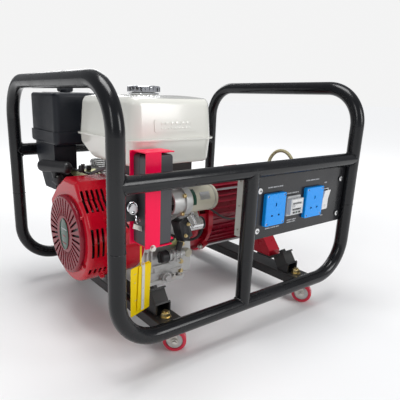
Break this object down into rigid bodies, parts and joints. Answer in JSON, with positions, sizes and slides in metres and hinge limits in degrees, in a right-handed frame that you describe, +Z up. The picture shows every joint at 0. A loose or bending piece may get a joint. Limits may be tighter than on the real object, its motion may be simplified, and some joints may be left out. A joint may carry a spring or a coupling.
{
  "type": "portable generator",
  "caption": "Portable petrol generator in a bent tube frame on swivel casters, with electric and rope start, red alternator and an outlet panel.",
  "frame": {"origin": "on the floor under the middle of the tube frame", "axes": "+X along the frame towards the end with the outlet panel, +Y from the panel side to the muffler side, +Z up"},
  "size_m": [0.703, 0.568, 0.559],
  "materials": {
    "frame_paint": "black powder coat, satin",
    "zinc": "zinc plated steel",
    "wheel_red": "red polyurethane tread on a grey hub",
    "rubber_black": "matt",
    "cast_aluminium": "as cast",
    "engine_red": "gloss red",
    "recoil_red": "dark red gloss",
    "black_plastic": "fine texture",
    "steel": "machined",
    "iron": "as cast",
    "rotor_steel": "varnished laminations",
    "alternator_red": "gloss red",
    "alternator_ends": "red painted casting",
    "sleeve": "woven glass-fibre sleeve",
    "starter_beige": "beige paint",
    "tank_ivory": "ivory gloss",
    "chrome": "polished",
    "muffler_black": "heat-proof black",
    "battery_case": "satin",
    "strap_red": "bright red paint",
    "panel_black": "satin black",
    "panel_grey": "light grey",
    "socket_blue": "moulded blue",
    "switch_grey": "moulded light grey",
    "tag_yellow": "printed card"
  },
  "bodies": {
    "frame": {"air_cleaner_base": "black_plastic", "alternator_end_bell": "alternator_ends", "alternator_front_bell": "alternator_ends", "alternator_lead": "sleeve", "alternator_stator": "alternator_red", "battery": "battery_case", "battery_bracket": "strap_red", "carburettor": "cast_aluminium", "caster_stems": "zinc", "circuit_breaker": "switch_grey", "crankcase": "cast_aluminium", "crankcase_cover": "cast_aluminium", "cylinder_head": "cast_aluminium", "fan_cover": "engine_red", "frame_front_tube": "frame_paint", "frame_left_hoop": "frame_paint", "frame_rear_tube": "frame_paint", "frame_right_hoop": "frame_paint", "front_mid_rail": "frame_paint", "fuel_tank_lower": "tank_ivory", "fuel_tank_upper": "tank_ivory", "key_switch": "black_plastic", "left_cross_member": "frame_paint", "mount_brackets": "frame_paint", "mount_rubbers": "rubber_black", "muffler": "muffler_black", "panel_box": "panel_grey", "panel_plate": "panel_black", "panel_post": "frame_paint", "rear_mid_rail": "frame_paint", "recoil_cover": "recoil_red", "right_cross_member": "frame_paint", "sockets": "socket_blue", "starter_housing": "cast_aluminium", "starter_motor": "starter_beige", "starter_solenoid": "steel", "tank_bracket": "frame_paint", "valve_cover": "cast_aluminium"},
    "crank": {"crankshaft": "steel", "flywheel": "iron", "alternator_rotor": "rotor_steel"},
    "rope_pulley": {"recoil_pulley": "black_plastic"},
    "grip": {"starter_grip": "black_plastic"},
    "tank_cap": {"fuel_cap": "chrome"},
    "air_cover": {"air_cleaner_cover": "black_plastic"},
    "air_nut": {"air_cleaner_nut": "black_plastic"},
    "choke": {"choke_lever": "black_plastic"},
    "key": {"ignition_key": "steel"},
    "oil_cap": {"oil_filler_cap": "black_plastic"},
    "toggle": {"breaker_toggle": "black_plastic"},
    "rocker": {"rocker_switch": "switch_grey"},
    "tag": {"inspection_tag": "tag_yellow"},
    "fork_1": {"caster_fork_1": "zinc"},
    "wheel_1": {"caster_wheel_1": "wheel_red"},
    "fork_2": {"caster_fork_2": "zinc"},
    "wheel_2": {"caster_wheel_2": "wheel_red"},
    "fork_3": {"caster_fork_3": "zinc"},
    "wheel_3": {"caster_wheel_3": "wheel_red"},
    "fork_4": {"caster_fork_4": "zinc"},
    "wheel_4": {"caster_wheel_4": "wheel_red"}
  },
  "joints": [
    {"name": "swivel_1", "type": "hinge", "parent": "frame", "child": "fork_1", "pos_m": [-0.197, -0.222, 0.06], "axis": [0, 0, 1], "continuous": true},
    {"name": "roll_1", "type": "hinge", "parent": "fork_1", "child": "wheel_1", "pos_m": [-0.18124, -0.23431, 0.025], "axis": [0.6157, 0.788, 0], "continuous": true},
    {"name": "swivel_2", "type": "hinge", "parent": "frame", "child": "fork_2", "pos_m": [-0.197, 0.222, 0.06], "axis": [0, 0, 1], "continuous": true},
    {"name": "roll_2", "type": "hinge", "parent": "fork_2", "child": "wheel_2", "pos_m": [-0.17873, 0.23014, 0.025], "axis": [-0.4067, 0.9135, 0], "continuous": true},
    {"name": "swivel_3", "type": "hinge", "parent": "frame", "child": "fork_3", "pos_m": [0.222, -0.222, 0.06], "axis": [0, 0, 1], "continuous": true},
    {"name": "roll_3", "type": "hinge", "parent": "fork_3", "child": "wheel_3", "pos_m": [0.2326, -0.23896, 0.025], "axis": [0.848, 0.5299, 0], "continuous": true},
    {"name": "swivel_4", "type": "hinge", "parent": "frame", "child": "fork_4", "pos_m": [0.222, 0.222, 0.06], "axis": [0, 0, 1], "continuous": true},
    {"name": "roll_4", "type": "hinge", "parent": "fork_4", "child": "wheel_4", "pos_m": [0.24156, 0.21784, 0.025], "axis": [0.2079, 0.9781, 0], "continuous": true},
    {"name": "crank_spin", "type": "hinge", "parent": "frame", "child": "crank", "pos_m": [0, -0.004, 0.217], "axis": [1, 0, 0], "continuous": true},
    {"name": "grip_pull", "type": "slide", "parent": "frame", "child": "grip", "axis": [-0.86, -0.46, 0.2209], "range_m": [0, 0.55], "stiffness_N_per_m": 15, "springref_m": -0.2},
    {"name": "pulley_turn", "type": "hinge", "parent": "frame", "child": "rope_pulley", "pos_m": [-0.308, -0.004, 0.217], "axis": [1, 0, 0], "range_deg": [0, 490]},
    {"name": "tank_cap_turn", "type": "hinge", "parent": "frame", "child": "tank_cap", "pos_m": [-0.113, 0, 0.52], "axis": [0, 0, 1], "range_deg": [0, 90]},
    {"name": "air_cover_lift", "type": "slide", "parent": "frame", "child": "air_cover", "axis": [0, 0, 1], "range_m": [0, 0.12]},
    {"name": "air_nut_turn", "type": "hinge", "parent": "air_cover", "child": "air_nut", "pos_m": [-0.237, 0.162, 0.525], "axis": [0, 0, 1], "continuous": true},
    {"name": "choke_turn", "type": "hinge", "parent": "frame", "child": "choke", "pos_m": [-0.2065, 0.14, 0.338], "axis": [0, 0, 1], "range_deg": [-30, 30]},
    {"name": "key_turn", "type": "hinge", "parent": "frame", "child": "key", "pos_m": [-0.271, -0.205, 0.318], "axis": [0, 1, 0], "range_deg": [0, 75]},
    {"name": "oil_cap_turn", "type": "hinge", "parent": "frame", "child": "oil_cap", "pos_m": [-0.13, -0.114, 0.159], "axis": [1, 0, 0], "continuous": true},
    {"name": "toggle_throw", "type": "hinge", "parent": "frame", "child": "toggle", "pos_m": [0.124, -0.272, 0.282], "axis": [1, 0, 0], "range_deg": [0, 44]},
    {"name": "rocker_throw", "type": "hinge", "parent": "frame", "child": "rocker", "pos_m": [0.244, -0.26, 0.282], "axis": [-1, 0, 0], "range_deg": [0, 12]},
    {"name": "tag_swing", "type": "hinge", "parent": "frame", "child": "tag", "pos_m": [-0.25, -0.208, 0.2376], "axis": [0.9397, 0.342, 0], "range_deg": [-15, 3]}
  ],
  "couplings": [
    {"joint": "pulley_turn", "follows": "grip_pull", "rad_per_m": 15.385}
  ]
}
